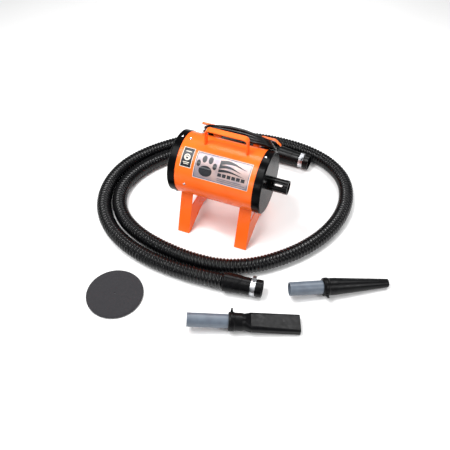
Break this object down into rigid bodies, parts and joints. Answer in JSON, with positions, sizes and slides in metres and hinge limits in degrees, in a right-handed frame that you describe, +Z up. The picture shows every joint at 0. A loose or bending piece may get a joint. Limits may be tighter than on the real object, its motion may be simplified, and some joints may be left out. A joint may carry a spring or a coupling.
{
  "type": "pet dryer",
  "caption": "Drum-shaped forced-air pet dryer on sheet legs with a carrying handle and wrapped mains cord, with a long ribbed air hose, a flat nozzle, a cone nozzle and a filter disc.",
  "frame": {"origin": "middle of the footprint of the dryer, nozzles and filter disc on the floor, free cord and hose left out", "axes": "+X along the drum towards the air outlet, +Y to the back of the dryer, +Z up"},
  "size_m": [0.8719, 0.7893, 0.3054],
  "materials": {
    "orange_paint": "glossy",
    "black_paint": "glossy",
    "black_plastic": "satin",
    "black_tube": "glossy",
    "rocker_plastic": "glossy",
    "rating_foil": "satin",
    "emblem_foil": "satin",
    "bright_steel": "polished",
    "cord_rubber": "satin",
    "gland_rubber": "matte",
    "plug_rubber": "satin",
    "plug_brass": "polished",
    "motor_steel": "satin",
    "motor_iron": "satin",
    "commutator_brass": "satin",
    "cast_aluminium": "satin",
    "mount_foam": "matte",
    "hose_plastic": "glossy",
    "cuff_rubber": "satin",
    "clamp_steel": "polished",
    "grey_tube": "satin",
    "tip_rubber": "satin",
    "tie_nylon": "satin",
    "filter_foam": "matte"
  },
  "bodies": {
    "dryer": {"cord_gland": "gland_rubber", "drum_shell": "orange_paint", "emblem_plate": "emblem_foil", "fan_casing": "motor_steel", "fan_mount_ring": "mount_foam", "front_bearing": "motor_steel", "front_bearing_plate": "cast_aluminium", "front_rivet": "bright_steel", "handle_strap": "orange_paint", "inlet_cap_screw_1": "bright_steel", "inlet_cap_screw_2": "bright_steel", "inlet_cap_screw_3": "bright_steel", "inlet_end_cap": "black_paint", "inlet_grille": "black_plastic", "left_cord_hook": "orange_paint", "left_leg": "orange_paint", "motor_can": "motor_steel", "motor_field": "motor_iron", "outlet_cap_screw_1": "bright_steel", "outlet_cap_screw_2": "bright_steel", "outlet_cap_screw_3": "bright_steel", "outlet_end_cap": "black_paint", "outlet_tube": "black_tube", "plug_blade_line": "plug_brass", "plug_blade_neutral": "plug_brass", "plug_body": "plug_rubber", "plug_earth_pin": "plug_brass", "power_hank": "cord_rubber", "power_lead": "cord_rubber", "power_tail": "cord_rubber", "rating_plate": "rating_foil", "rear_bearing": "motor_steel", "rear_mount_ring": "mount_foam", "rear_rivet": "bright_steel", "right_cord_hook": "orange_paint", "right_leg": "orange_paint", "switch_body": "black_plastic", "top_rivet": "bright_steel"},
    "rotor": {"rotor_shaft": "motor_steel", "armature": "motor_iron", "commutator": "commutator_brass", "impeller": "cast_aluminium"},
    "rocker": {"switch_rocker": "rocker_plastic"},
    "hose": {"air_hose": "hose_plastic", "front_cuff": "cuff_rubber", "rear_cuff": "cuff_rubber", "front_clamp_band": "clamp_steel", "rear_clamp_band": "clamp_steel", "front_clamp_screw": "bright_steel", "rear_clamp_screw": "bright_steel"},
    "flat_nozzle": {"flat_nozzle_tube": "grey_tube", "flat_nozzle_tip": "tip_rubber", "flat_nozzle_tie": "tie_nylon"},
    "cone_nozzle": {"cone_nozzle_tube": "grey_tube", "cone_nozzle_tip": "tip_rubber", "cone_nozzle_tie": "tie_nylon"},
    "filter": {"filter_disc": "filter_foam"}
  },
  "joints": [
    {"name": "motor_spin", "type": "hinge", "parent": "dryer", "child": "rotor", "pos_m": [-0.1272, 0.16091, 0.176], "axis": [1, 0, 0], "continuous": true},
    {"name": "power_switch", "type": "hinge", "parent": "dryer", "child": "rocker", "pos_m": [-0.2542, 0.16091, 0.242], "axis": [0, 1, 0], "range_deg": [-20, 0]},
    {"name": "hose_lift", "type": "slide", "parent": "dryer", "child": "hose", "axis": [0, 0, 1], "range_m": [0, 0.33]},
    {"name": "flat_nozzle_lift", "type": "slide", "parent": "dryer", "child": "flat_nozzle", "axis": [0, 0, 1], "range_m": [0, 0.33]},
    {"name": "cone_nozzle_lift", "type": "slide", "parent": "dryer", "child": "cone_nozzle", "axis": [0, 0, 1], "range_m": [0, 0.33]},
    {"name": "filter_lift", "type": "slide", "parent": "dryer", "child": "filter", "axis": [0, 0, 1], "range_m": [0, 0.33]}
  ]
}
